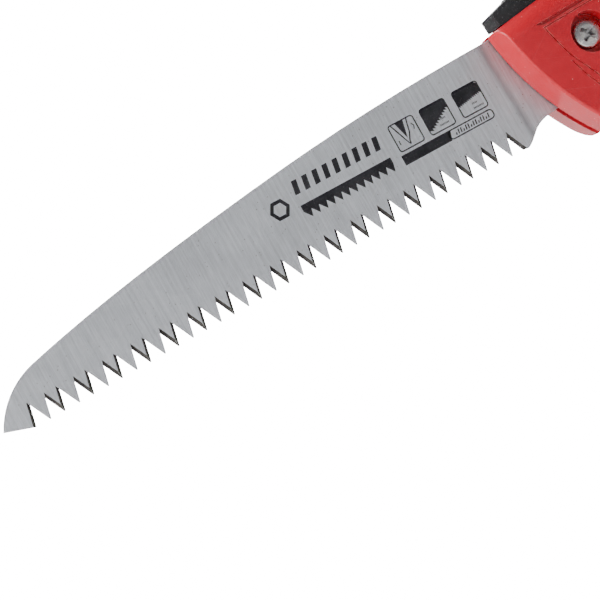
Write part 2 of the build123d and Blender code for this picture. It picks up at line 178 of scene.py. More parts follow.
class Effects:
    """Shader groups that several finishes share."""

    def __init__(self) -> None:
        """Build every group once."""
        self.wear = self.edge_wear()
        self.grain = self.directional_grain()
        self.specks = self.fine_specks()
        self.handling = self.handling_marks()

    @staticmethod
    def edge_wear() -> bpy.types.NodeTree:
        """Return the group that masks rubbed edges, broken up by noise.

        Returns:
            The group, with a Mask output.
        """
        sockets = {"Radius": ("NodeSocketFloat", 0.0005), "Breakup": ("NodeSocketFloat", 900.0)}
        group, tree, source, sink = new_group("EdgeWear", sockets, ["Mask"])
        position = tree.add("ShaderNodeTexCoord").outputs["Object"]
        soft = tree.add("ShaderNodeBevel", {"Radius": source.outputs["Radius"]}, samples=6).outputs[0]
        hard = tree.add("ShaderNodeNewGeometry").outputs["Normal"]
        dot = tree.add("ShaderNodeVectorMath", {0: soft, 1: hard}, operation="DOT_PRODUCT").outputs["Value"]
        edge = tree.ramp(dot, 0.995, 0.86)
        patches = tree.ramp(tree.noise(position, source.outputs["Breakup"], 4.0, 0.6), 0.38, 0.62)
        tree.tree.links.new(tree.math("MULTIPLY", edge, patches), sink.inputs["Mask"])
        return group

    @staticmethod
    def directional_grain() -> bpy.types.NodeTree:
        """Return the group for brushed lines that run along Z of the vector it is given.

        Returns:
            The group, with Lines and Bands outputs.
        """
        sockets = {"Vector": ("NodeSocketVector", 0.0), "Fine": ("NodeSocketFloat", 1.0)}
        group, tree, source, sink = new_group("BrushedGrain", sockets, ["Lines", "Bands"])
        vector = source.outputs["Vector"]
        fine = tree.noise(tree.stretched(vector, (9000.0, 300.0, 160.0)), source.outputs["Fine"], 2.0, 0.65)
        broad = tree.noise(tree.stretched(vector, (1300.0, 100.0, 30.0)), source.outputs["Fine"], 2.0, 0.5)
        tree.tree.links.new(fine, sink.inputs["Lines"])
        tree.tree.links.new(broad, sink.inputs["Bands"])
        return group

    @staticmethod
    def fine_specks() -> bpy.types.NodeTree:
        """Return the group that masks small scattered specks.

        Returns:
            The group, with a Mask output.
        """
        sockets = {"Scale": ("NodeSocketFloat", 900.0), "Share": ("NodeSocketFloat", 0.1)}
        group, tree, source, sink = new_group("FineSpecks", sockets, ["Mask"])
        position = tree.add("ShaderNodeTexCoord").outputs["Object"]
        cells = {"Vector": position, "Scale": source.outputs["Scale"], "Randomness": 1.0}
        cell = tree.add("ShaderNodeTexVoronoi", cells)
        dot = tree.ramp(cell.outputs["Distance"], 0.34, 0.16)
        pick = tree.add("ShaderNodeSeparateColor", {"Color": cell.outputs["Color"]}).outputs[0]
        chosen = tree.math("LESS_THAN", pick, source.outputs["Share"])
        tree.tree.links.new(tree.math("MULTIPLY", dot, chosen), sink.inputs["Mask"])
        return group

    @staticmethod
    def handling_marks() -> bpy.types.NodeTree:
        """Return the group for cloudy smears and thin scratches from handling.

        Returns:
            The group, with Clouds and Scratches outputs.
        """
        sockets = {"Scale": ("NodeSocketFloat", 60.0)}
        group, tree, source, sink = new_group("HandlingMarks", sockets, ["Clouds", "Scratches"])
        position = tree.add("ShaderNodeTexCoord").outputs["Object"]
        clouds = tree.noise(position, source.outputs["Scale"], 5.0, 0.6)
        masks = []
        for turn, along, across in ((34.0, 26.0, 5200.0), (-21.0, 18.0, 6400.0), (72.0, 34.0, 4700.0)):
            lines = tree.noise(tree.stretched(position, (along, 900.0, across), turn), 1.0, 1.0, 0.4)
            masks.append(tree.ramp(lines, 0.735, 0.79))
        both = tree.math("MAXIMUM", masks[0], masks[1])
        tree.tree.links.new(clouds, sink.inputs["Clouds"])
        tree.tree.links.new(tree.math("MAXIMUM", both, masks[2]), sink.inputs["Scratches"])
        return group


class Recipe(Tree):
    """One material's node tree with the shared groups at hand."""

    def __init__(self, name: str, effects: Effects) -> None:
        """Start a material with one Principled shader.

        Args:
            name: the material's name.
            effects: the shared shader groups.
        """
        self.material = bpy.data.materials.new(name)
        self.material.use_nodes = True
        super().__init__(self.material.node_tree)
        self.effects = effects
        self.shader = self.tree.nodes["Principled BSDF"]
        self.position = self.add("ShaderNodeTexCoord").outputs["Object"]

    def group(self, group: bpy.types.NodeTree, **values: Value) -> dict[str, Socket]:
        """Place a shared group and return its outputs by name.

        Args:
            group: the shared group.
            values: constants or sockets by input name.

        Returns:
            The group node's outputs by name.
        """
        node = self.add("ShaderNodeGroup", node_tree=group)
        for name, value in values.items():
            if isinstance(value, Socket):
                self.tree.links.new(value, node.inputs[name])
            else:
                node.inputs[name].default_value = value
        return {socket.name: socket for socket in node.outputs}

    def plain(self, **values: Value) -> None:
        """Set constants on the shader's own sockets, with _ for spaces."""
        for name, value in values.items():
            self.shader.inputs[name.replace("_", " ")].default_value = value

    def feed(self, **values: Socket) -> None:
        """Link sockets to the shader's inputs, with _ for spaces."""
        for name, value in values.items():
            self.tree.links.new(value, self.shader.inputs[name.replace("_", " ")])

    def relief(self, height: Socket, depth: float, strength: float = 1.0) -> None:
        """Feed Normal with a bump of the given depth in metres."""
        sockets = {"Height": height, "Distance": depth, "Strength": strength}
        self.feed(Normal=self.add("ShaderNodeBump", sockets).outputs[0])


def rgba(red: float, green: float, blue: float) -> tuple[float, float, float, float]:
    """Return an opaque linear colour."""
    return (red, green, blue, 1.0)


# ---- finishes ----------------------------------------------------------------
@dataclass(frozen=True)
class BrushedSteel:
    """Satin rolled steel with grain, smears and fine scratches, and a painted dark reflection along the line
    where the grind ends.
    """

    name: str
    light: tuple = rgba(0.62, 0.64, 0.68)
    dark: tuple = rgba(0.42, 0.435, 0.465)
    roughness: float = 0.36
    turn: float = 0.0
    fine: float = 1.0
    specks: float = 0.05
    # The crease line, and the width and darkness of the dark reflection painted along it.
    crease: tuple[tuple[float, float], tuple[float, float]] = ((-28.9, 12.0), (-27.3, -17.0))
    painted_crease_width: float = 2.0
    painted_crease_darkness: float = 0.42

    def painted_crease_reflection(self, recipe: Recipe) -> Socket:
        """Return a soft mask along the line where the grind ends, where a dark reflection of the hollow ramp
        is painted.

        Args:
            recipe: the material being built.

        Returns:
            The mask, strongest on the line.
        """
        upper, lower = (from_pivot(*point) for point in self.crease)
        across = (lower - upper).cross(Vector((0.0, 1.0, 0.0))).normalized()
        start = {0: recipe.position, 1: tuple(upper)}
        offset = recipe.add("ShaderNodeVectorMath", start, operation="SUBTRACT").outputs[0]
        sides = {0: offset, 1: tuple(across)}
        dot = recipe.add("ShaderNodeVectorMath", sides, operation="DOT_PRODUCT").outputs["Value"]
        away = recipe.math("ABSOLUTE", dot)
        return recipe.ramp(away, self.painted_crease_width * MM, 0.0, 0.0, self.painted_crease_darkness)

    def make(self, effects: Effects) -> bpy.types.Material:
        """Build the material.

        Args:
            effects: the shared shader groups.

        Returns:
            The finished material.
        """
        recipe = Recipe(self.name, effects)
        turned = recipe.stretched(recipe.position, (1.0, 1.0, 1.0), self.turn)
        grain = recipe.group(effects.grain, Vector=turned, Fine=self.fine)
        marks = recipe.group(effects.handling, Scale=45.0)
        specks = recipe.group(effects.specks, Scale=1500.0, Share=self.specks)["Mask"]
        wear = recipe.group(effects.wear, Radius=0.00025, Breakup=700.0)["Mask"]
        tone = recipe.math("MULTIPLY", grain["Lines"], 0.55)
        tone = recipe.math("MULTIPLY_ADD", grain["Bands"], 0.45, tone)
        tone = recipe.math("MULTIPLY_ADD", marks["Clouds"], 0.35, tone)
        colour = recipe.mix(recipe.ramp(tone, 0.42, 0.92), self.dark, self.light)
        scratched = recipe.math("MULTIPLY", marks["Scratches"], 0.45)
        colour = recipe.mix(scratched, colour, rgba(0.62, 0.63, 0.64))
        colour = recipe.mix(recipe.math("MULTIPLY", specks, 0.55), colour, rgba(0.10, 0.09, 0.08))
        colour = recipe.mix(wear, colour, rgba(0.66, 0.67, 0.68))
        rough = recipe.ramp(grain["Lines"], 0.2, 0.8, self.roughness + 0.08, self.roughness - 0.06)
        rough = recipe.math("MULTIPLY_ADD", marks["Clouds"], 0.10, rough)
        rough = recipe.math("SUBTRACT", rough, recipe.math("MULTIPLY", wear, 0.12))
        # Painted dark reflection: the steel is darkened along the grind's crease in place of the hollow
        # ramp's reflection.
        colour = recipe.mix(self.painted_crease_reflection(recipe), colour, rgba(0.09, 0.09, 0.10))
        recipe.plain(Metallic=0.88)
        recipe.feed(Base_Color=colour, Roughness=rough)
        height = recipe.math("SUBTRACT", grain["Lines"], recipe.math("MULTIPLY", marks["Scratches"], 0.6))
        recipe.relief(height, 0.000012)
        return recipe.material


@dataclass(frozen=True)
class MouldedPlastic:
    """Moulded plastic or rubber with a fine skin, light specks and rubbed edges; on the red shell the light
    specks are painted glints.
    """

    name: str
    base: tuple
    shade: tuple
    rubbed: tuple
    speck_and_glint: tuple
    roughness: float
    skin: float
    skin_depth: float
    share: float = 0.05
    speck_scale: float = 900.0
    wear_radius: float = 0.0004
    wear: float = 0.5
    coat: float = 0.0
    specular: float = 0.5

    def make(self, effects: Effects) -> bpy.types.Material:
        """Build the material.

        Args:
            effects: the shared shader groups.

        Returns:
            The finished material.
        """
        recipe = Recipe(self.name, effects)
        marks = recipe.group(effects.handling, Scale=38.0)
        specks = recipe.group(effects.specks, Scale=self.speck_scale, Share=self.share)["Mask"]
        wear = recipe.group(effects.wear, Radius=self.wear_radius, Breakup=420.0)["Mask"]
        skin = recipe.noise(recipe.position, self.skin, 2.0, 0.5)
        colour = recipe.mix(recipe.ramp(marks["Clouds"], 0.3, 0.7), self.shade, self.base)
        # Light specks; on the red shell these are painted glints.
        colour = recipe.mix(recipe.math("MULTIPLY", specks, 0.5), colour, self.speck_and_glint)
        colour = recipe.mix(recipe.math("MULTIPLY", wear, self.wear), colour, self.rubbed)
        colour = recipe.mix(recipe.math("MULTIPLY", marks["Scratches"], 0.07), colour, self.rubbed)
        rough = recipe.ramp(marks["Clouds"], 0.3, 0.75, self.roughness - 0.05, self.roughness + 0.07)
        rough = recipe.math("MULTIPLY_ADD", marks["Scratches"], 0.15, rough)
        recipe.plain(Coat_Weight=self.coat, Coat_Roughness=0.18, Specular_IOR_Level=self.specular)
        recipe.feed(Base_Color=colour, Roughness=rough)
        height = recipe.math("SUBTRACT", skin, recipe.math("MULTIPLY", marks["Scratches"], 0.2))
        recipe.relief(height, self.skin_depth)
        return recipe.material


@dataclass(frozen=True)
class PlatedMetal:
    """Plated or blackened small hardware."""

    name: str
    base: tuple
    dull: tuple
    roughness: float
    metallic: float = 1.0

    def make(self, effects: Effects) -> bpy.types.Material:
        """Build the material.

        Args:
            effects: the shared shader groups.

        Returns:
            The finished material.
        """
        recipe = Recipe(self.name, effects)
        marks = recipe.group(effects.handling, Scale=240.0)
        specks = recipe.group(effects.specks, Scale=2100.0, Share=0.08)["Mask"]
        wear = recipe.group(effects.wear, Radius=0.0002, Breakup=1500.0)["Mask"]
        colour = recipe.mix(recipe.ramp(marks["Clouds"], 0.35, 0.7), self.dull, self.base)
        colour = recipe.mix(recipe.math("MULTIPLY", specks, 0.5), colour, self.dull)
        colour = recipe.mix(recipe.math("MULTIPLY", wear, 0.6), colour, rgba(0.78, 0.78, 0.77))
        rough = recipe.ramp(marks["Clouds"], 0.3, 0.7, self.roughness, self.roughness + 0.14)
        recipe.plain(Metallic=self.metallic)
        recipe.feed(Base_Color=colour, Roughness=rough)
        recipe.relief(recipe.math("ADD", marks["Clouds"], specks), 0.00001)
        return recipe.material


@dataclass(frozen=True)
class PrintInk:
    """Dark ink screened on steel, slightly worn."""

    name: str = "marking_ink"

    def make(self, effects: Effects) -> bpy.types.Material:
        """Build the material.

        Args:
            effects: the shared shader groups.

        Returns:
            The finished material.
        """
        recipe = Recipe(self.name, effects)
        marks = recipe.group(effects.handling, Scale=150.0)
        thin = recipe.ramp(recipe.noise(recipe.position, 1800.0, 4.0, 0.65), 0.56, 0.72)
        dark, faded = rgba(0.010, 0.010, 0.012), rgba(0.02, 0.02, 0.023)
        colour = recipe.mix(recipe.ramp(marks["Clouds"], 0.3, 0.7), dark, faded)
        colour = recipe.mix(recipe.math("MULTIPLY", thin, 0.4), colour, rgba(0.12, 0.12, 0.125))
        rough = recipe.ramp(marks["Clouds"], 0.3, 0.7, 0.42, 0.55)
        recipe.plain(Specular_IOR_Level=0.12)
        recipe.feed(Base_Color=colour, Roughness=rough)
        recipe.relief(thin, 0.000006)
        return recipe.material


@dataclass(frozen=True)
class Palette:
    """Every finish of the saw, made once."""

    steel: bpy.types.Material
    shell: bpy.types.Material
    grip: bpy.types.Material
    lever: bpy.types.Material
    bright: bpy.types.Material
    hardware: bpy.types.Material
    black: bpy.types.Material
    ink: bpy.types.Material
    gullet_painted_dark: bpy.types.Material

    @staticmethod
    def mix() -> "Palette":
        """Return the palette with all its materials built.

        Returns:
            The palette with all its materials built.
        """
        effects = Effects()
        return Palette(
            steel=BrushedSteel("satin_blade_steel").make(effects),
            shell=MouldedPlastic(
                "gloss_red_plastic",
                base=rgba(0.47, 0.010, 0.020),
                shade=rgba(0.39, 0.007, 0.015),
                rubbed=rgba(0.80, 0.22, 0.20),
                # Pale pink specks on the red shell: painted glints.
                speck_and_glint=rgba(0.85, 0.35, 0.32),
                roughness=0.33,
                skin=1500.0,
                skin_depth=0.000035,
                share=0.02,
                coat=0.10,
                specular=0.32,
                speck_scale=1700.0,
            ).make(effects),
            grip=MouldedPlastic(
                "soft_black_rubber",
                base=rgba(0.022, 0.022, 0.023),
                shade=rgba(0.013, 0.013, 0.014),
                rubbed=rgba(0.06, 0.06, 0.06),
                speck_and_glint=rgba(0.07, 0.07, 0.068),
                roughness=0.62,
                skin=2600.0,
                skin_depth=0.00008,
                share=0.05,
            ).make(effects),
            lever=MouldedPlastic(
                "grained_black_plastic",
                base=rgba(0.012, 0.0125, 0.014),
                shade=rgba(0.007, 0.007, 0.008),
                rubbed=rgba(0.20, 0.20, 0.20),
                speck_and_glint=rgba(0.22, 0.22, 0.22),
                roughness=0.42,
                skin=2200.0,
                skin_depth=0.00007,
                share=0.10,
                speck_scale=1600.0,
                specular=0.38,
            ).make(effects),
            bright=PlatedMetal(
                "bright_nickel_plate", rgba(0.70, 0.69, 0.66), rgba(0.50, 0.49, 0.47), 0.16
            ).make(effects),
            hardware=PlatedMetal(
                "zinc_hardware", rgba(0.50, 0.50, 0.50), rgba(0.34, 0.34, 0.34), 0.32
            ).make(effects),
            black=PlatedMetal(
                "blackened_screw", rgba(0.05, 0.05, 0.052), rgba(0.03, 0.03, 0.03), 0.34
            ).make(effects),
            ink=PrintInk().make(effects),
            # Near-black finish for the gullet facets: a painted dark reflection, not the steel's own colour.
            gullet_painted_dark=PlatedMetal(
                "gullet_facets_painted_dark", rgba(0.055, 0.05, 0.045), rgba(0.02, 0.018, 0.016), 0.42, 0.7
            ).make(effects),
        )


# ---- shared mesh work ----------------------------------------------------------
def from_pivot(x: float, z: float, y: float = 0.0) -> Vector:
    """Return a point given from the pivot in millimetres, in metres in the frame."""
    return PIVOT + Vector((x, y, z)) * MM


def dress(node: str, material: bpy.types.Material) -> None:
    """Give a carried-over CAD node its finish.

    Args:
        node: the CAD node's name.
        material: its finish.
    """
    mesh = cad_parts[node].data
    mesh.materials.clear()
    mesh.materials.append(material)


def settled(mesh: bpy.types.Mesh) -> bpy.types.Mesh:
    """Rebuild a mesh with its vertices and faces in an order that their places alone give.

    Args:
        mesh: the finished mesh, whose order may vary from run to run.

    Returns:
        The same shape with the same materials, smooth faces and sharp edges.
    """
    order = sorted(range(len(mesh.vertices)), key=lambda number: tuple(mesh.vertices[number].co))
    rank = {old: new for new, old in enumerate(order)}
    sharp = {frozenset(rank[end] for end in edge.vertices) for edge in mesh.edges if edge.use_edge_sharp}
    rows = []
    for face in mesh.polygons:
        ring = [rank[corner] for corner in face.vertices]
        start = ring.index(min(ring))
        rows.append((ring[start:] + ring[:start], face.material_index, face.use_smooth))
    rows.sort()
    fresh = bpy.data.meshes.new(mesh.name)
    fresh.from_pydata([mesh.vertices[old].co for old in order], [], [ring for ring, _, _ in rows])
    for material in mesh.materials:
        fresh.materials.append(material)
    for face, (_, slot, smooth) in zip(fresh.polygons, rows):
        face.material_index, face.use_smooth = slot, smooth
    for edge in fresh.edges:
        edge.use_edge_sharp = frozenset(edge.vertices) in sharp
    return fresh


def new_piece(
    name: str,
    mesh: bpy.types.Mesh,
    body: Body,
    slot: str,
    material: Optional[bpy.types.Material],
    *stands_for: str,
) -> bpy.types.Object:
    """Make an object of a finished mesh and tie it to the frame.

    Args:
        name: the piece's name.
        mesh: its mesh, already in place.
        body: the body it moves with.
        slot: the record's material slot; not used.
        material: its finish, or None where the mesh has it.
        stands_for: CAD nodes it replaces.

    Returns:
        The new object.
    """
    piece = bpy.data.objects.new(name, mesh)
    bpy.context.scene.collection.objects.link(piece)
    if material is not None:
        mesh.materials.clear()
        mesh.materials.append(material)
    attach(piece, body.value)
    if stands_for:
        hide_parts(*stands_for)
    LOG.info("%s: %d faces", name, len(mesh.polygons))
    return piece


def open_copy(node: str, flat: float = 0.4) -> bmesh.types.BMesh:
    """Return a welded copy of a CAD node's mesh with its flat faces joined.

    Args:
        node: the CAD node's name.
        flat: degrees under which neighbouring faces are joined.

    Returns:
        The copy, to be closed with close_mesh.
    """
    work = bmesh.new()
    work.from_mesh(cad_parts[node].data)
    bmesh.ops.remove_doubles(work, verts=work.verts, dist=2e-6)
    bmesh.ops.dissolve_limit(
        work, angle_limit=math.radians(flat), verts=work.verts, edges=work.edges, delimit={"NORMAL"}
    )
    return work


def close_mesh(work: bmesh.types.BMesh, name: str, smooth: Optional[float] = 30.0) -> bpy.types.Mesh:
    """Turn edited geometry into a mesh, smooth but for edges sharper than an angle in degrees.

    Args:
        work: the edited geometry, which is freed.
        name: the mesh's name.
        smooth: degrees past which an edge stays sharp, or None for flat faces.

    Returns:
        The mesh.
    """
    mesh = bpy.data.meshes.new(name)
    work.to_mesh(mesh)
    work.free()
    if smooth is not None:
        mesh.shade_smooth()
        mesh.set_sharp_from_angle(angle=math.radians(smooth))
    return mesh


def height_at(value: float, pairs: Outline) -> float:
    """Return the height of a polyline of (x, z) points at an x, by straight lines.

    Args:
        value: where the height is read.
        pairs: the polyline, in rising x.

    Returns:
        The height, held level past both ends.
    """
    for (x0, z0), (x1, z1) in zip(pairs, pairs[1:]):
        if x0 <= value <= x1:
            return z0 + (z1 - z0) * (value - x0) / (x1 - x0)
    return pairs[0][1] if value < pairs[0][0] else pairs[-1][1]


def cap_of(work: bmesh.types.BMesh, axis: int, sign: float) -> list[bmesh.types.BMFace]:
    """Return the outermost flat faces towards one side of an axis.

    Args:
        work: the geometry.
        axis: 0, 1 or 2 for X, Y or Z.
        sign: the side of the axis.

    Returns:
        The outermost flat faces.
    """
    facing = [face for face in work.faces if face.normal[axis] * sign > 0.999]
    reach = max(face.calc_center_median()[axis] * sign for face in facing)
    return [face for face in facing if face.calc_center_median()[axis] * sign > reach - 0.00002]


def rim_of(faces: Sequence[bmesh.types.BMFace]) -> list[bmesh.types.BMEdge]:
    """Return the edges that bound a set of faces.

    Args:
        faces: the set of faces.

    Returns:
        Its bounding edges in order of index.
    """
    inside = set(faces)
    edges = {edge for face in faces for edge in face.edges}
    rim = [edge for edge in edges if sum(face in inside for face in edge.link_faces) == 1]
    return sorted(rim, key=lambda edge: edge.index)


def soften(
    work: bmesh.types.BMesh, edges: Iterable[bmesh.types.BMEdge], width: float, segments: int = 3
) -> None:
    """Round edges off by a width in millimetres."""
    bmesh.ops.bevel(
        work,
        geom=list(edges),
        offset=width * MM,
        offset_type="OFFSET",
        segments=segments,
        profile=0.5,
        affect="EDGES",
        clamp_overlap=True,
    )


def carve(mesh: bpy.types.Mesh, cutters: Sequence[bpy.types.Mesh]) -> bpy.types.Mesh:
    """Cut closed meshes out of a closed mesh.

    Args:
        mesh: the mesh that is cut.
        cutters: the meshes taken away, one after another.

    Returns:
        The cut mesh.
    """
    solid = bpy.data.objects.new("carved", mesh)
    bpy.context.scene.collection.objects.link(solid)
    helpers = []
    for cutter in cutters:
        helper = bpy.data.objects.new("cutter", cutter)
        bpy.context.scene.collection.objects.link(helper)
        helpers.append(helper)
        cut = solid.modifiers.new("cut", "BOOLEAN")
        cut.operation, cut.solver, cut.object = "DIFFERENCE", "EXACT", helper
    bpy.context.view_layer.update()
    graph = bpy.context.evaluated_depsgraph_get()
    result = bpy.data.meshes.new_from_object(solid.evaluated_get(graph))
    for helper in [solid, *helpers]:
        bpy.data.objects.remove(helper)
    return result


def turned(profile: Outline, steps: int = 48) -> bpy.types.Mesh:
    """Return a closed lathe turning about Y of (radius, y) points in millimetres.

    Args:
        profile: (radius, y) points.
        steps: sides of the lathe turning.

    Returns:
        A closed mesh in metres.
    """
    work = bmesh.new()
    points = [work.verts.new((radius * MM, y * MM, 0.0)) for radius, y in profile]
    edges = [work.edges.new(pair) for pair in zip(points, points[1:])]
    turn = {"cent": (0, 0, 0), "axis": (0, 1, 0), "angle": math.tau, "steps": steps}
    bmesh.ops.spin(work, geom=points + edges, use_merge=True, **turn)
    bmesh.ops.remove_doubles(work, verts=work.verts, dist=1e-7)
    bmesh.ops.recalc_face_normals(work, faces=work.faces)
    return close_mesh(work, "turned", 35.0)


def tapered_bar(
    top: tuple[float, float], bottom: tuple[float, float], y: tuple[float, float], turn: float
) -> bpy.types.Mesh:
    """Return a bar across Y that narrows with depth.

    Args:
        top: its length and width at the first y.
        bottom: its length and width at the second y.
        y: the two depths.
        turn: degrees about Y.

    Returns:
        A closed mesh in metres.
    """
    work = bmesh.new()
    spin = Matrix.Rotation(math.radians(turn), 3, "Y")
    for (length, width), depth in zip((top, bottom), y):
        for x, z in ((1, 1), (-1, 1), (-1, -1), (1, -1)):
            work.verts.new(spin @ Vector((x * length / 2, depth, z * width / 2)) * MM)
    bmesh.ops.convex_hull(work, input=work.verts)
    bmesh.ops.recalc_face_normals(work, faces=work.faces)
    return close_mesh(work, "bar", None)


def moved(mesh: bpy.types.Mesh, shift: Vector) -> bpy.types.Mesh:
    """Return a mesh after moving its vertices."""
    mesh.transform(Matrix.Translation(shift))
    return mesh


# ---- ribs by rule --------------------------------------------------------------
class RibRun:
    """Geometry Nodes tree that sets leaning ribs along a path over a surface."""

    def __init__(self) -> None:
        """Build the tree once."""
        self.tree = bpy.data.node_groups.new("RibRun", "GeometryNodeTree")
        face = self.tree.interface
        face.new_socket("Geometry", in_out="INPUT", socket_type="NodeSocketGeometry")
        self.inputs = {
            label: face.new_socket(label, in_out="INPUT", socket_type=kind).identifier
            for label, kind in (
                ("Rib", "NodeSocketObject"),
                ("Count", "NodeSocketInt"),
                ("Width", "NodeSocketFloat"),
                ("Height", "NodeSocketFloat"),
                ("Lean", "NodeSocketFloat"),
                ("Finish", "NodeSocketMaterial"),
            )
        }
        face.new_socket("Geometry", in_out="OUTPUT", socket_type="NodeSocketGeometry")
        self.wire()

    def wire(self) -> None:
        """Lay out the tree's nodes and links."""
        tree = Tree(self.tree)
        source = tree.add("NodeGroupInput").outputs
        curve = tree.add("GeometryNodeMeshToCurve", {"Mesh": source["Geometry"]}).outputs[0]
        sampling = {"Curve": curve, "Count": source["Count"]}
        spread = tree.add("GeometryNodeResampleCurve", sampling).outputs[0]
        named = "GeometryNodeInputNamedAttribute"
        out = tree.add(named, {"Name": "out"}, data_type="FLOAT_VECTOR").outputs[0]
        half = tree.add(named, {"Name": "half"}, data_type="FLOAT").outputs[0]
        tangent = tree.add("GeometryNodeInputTangent").outputs[0]
        upright = tree.add("FunctionNodeAlignRotationToVector", {"Vector": out}, axis="Z").outputs[0]
        along = tree.add(
            "FunctionNodeAlignRotationToVector",
            {"Rotation": upright, "Vector": tangent},
            axis="Y",
            pivot_axis="Z",
        ).outputs[0]
        leaning = {"Axis": (0.0, 0.0, 1.0), "Angle": source["Lean"]}
        lean = tree.add("FunctionNodeAxisAngleToRotation", leaning).outputs[0]
        turn = tree.add(
            "FunctionNodeRotateRotation", {"Rotation": along, "Rotate By": lean}, rotation_space="LOCAL"
        ).outputs[0]
        scale = {0: half, 1: source["Width"], 2: source["Height"]}
        size = tree.add("ShaderNodeCombineXYZ", scale).outputs[0]
        rib = tree.add("GeometryNodeObjectInfo", {"Object": source["Rib"]}).outputs["Geometry"]
        placing = {"Points": spread, "Instance": rib, "Rotation": turn, "Scale": size}
        ribs = tree.add("GeometryNodeInstanceOnPoints", placing).outputs[0]
        real = tree.add("GeometryNodeRealizeInstances", {"Geometry": ribs}).outputs[0]
        dressing = {"Geometry": real, "Material": source["Finish"]}
        done = tree.add("GeometryNodeSetMaterial", dressing).outputs[0]
        tree.add("NodeGroupOutput", {"Geometry": done})

    @staticmethod
    def blank() -> bpy.types.Object:
        """Return one rounded rib, one unit from its middle to its ends, sides and crown.

        Returns:
            The rib, to be removed after use.
        """
        work = bmesh.new()
        rings = []
        for x, full in ((-1.0, 0.3), (-0.93, 0.8), (-0.8, 1.0), (0.8, 1.0), (0.93, 0.8), (1.0, 0.3)):
            ring = []
            for step in range(9):
                angle = math.pi * step / 8
                ring.append(work.verts.new((x, math.cos(angle) * full, (math.sin(angle) ** 0.6) * full)))
            rings.append(ring)
        for first, second in zip(rings, rings[1:]):
            for step in range(9):
                following = (step + 1) % 9
                work.faces.new((first[step], first[following], second[following], second[step]))
        work.faces.new(rings[0][::-1])
        work.faces.new(rings[-1])
        bmesh.ops.recalc_face_normals(work, faces=work.faces)
        blank = bpy.data.objects.new("rib_blank", close_mesh(work, "rib_blank", 50.0))
        bpy.context.scene.collection.objects.link(blank)
        return blank

    def lay(
        self,
        name: str,
        path: Sequence[tuple[Vector, Vector, float]],
        finish: bpy.types.Material,
        **sizes: float,
    ) -> bpy.types.Mesh:
        """Set ribs along a path.

        Args:
            name: the mesh's name.
            path: point, outward direction and half length of a rib, in metres, along the run.
            finish: the ribs' material.
            sizes: Count, Width, Height and Lean of the tree, in metres and radians.

        Returns:
            The ribs as one plain mesh.
        """
        mesh = bpy.data.meshes.new("path")
        mesh.from_pydata([point for point, _, _ in path], [(i, i + 1) for i in range(len(path) - 1)], [])
        out = mesh.attributes.new("out", "FLOAT_VECTOR", "POINT")
        out.data.foreach_set("vector", [value for _, normal, _ in path for value in normal])
        half = mesh.attributes.new("half", "FLOAT", "POINT")
        half.data.foreach_set("value", [length for _, _, length in path])
        line = bpy.data.objects.new("path", mesh)
        bpy.context.scene.collection.objects.link(line)
        blank = self.blank()
        run = line.modifiers.new("ribs", "NODES")
        run.node_group = self.tree
        for label, value in {"Rib": blank, "Finish": finish, **sizes}.items():
            run[self.inputs[label]] = value
        bpy.context.view_layer.update()
        graph = bpy.context.evaluated_depsgraph_get()
        result = bpy.data.meshes.new_from_object(line.evaluated_get(graph))
        result.name = name
        bpy.data.objects.remove(line)
        bpy.data.objects.remove(blank)
        return result


def path_over(
    node: str, starts: Sequence[Vector], ray: Vector, halves: Sequence[float], sink: float = 0.0
) -> list[tuple[Vector, Vector, float]]:
    """Drop points onto a CAD node.

    Args:
        node: the node they land on.
        starts: where each ray begins, in metres.
        ray: the rays' direction.
        halves: half length of a rib at each point, in metres.
        sink: how far the path lies under the surface, in metres.

    Returns:
        Point, outward direction and half length where each ray lands.
    """
    work = bmesh.new()
    work.from_mesh(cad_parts[node].data)
    surface = BVHTree.FromBMesh(work)
    work.free()
    path = []
    for start, half in zip(starts, halves):
        point, normal, _, _ = surface.ray_cast(start, ray)
        if point is not None:
            path.append((point - normal * sink, normal, half))
    return path


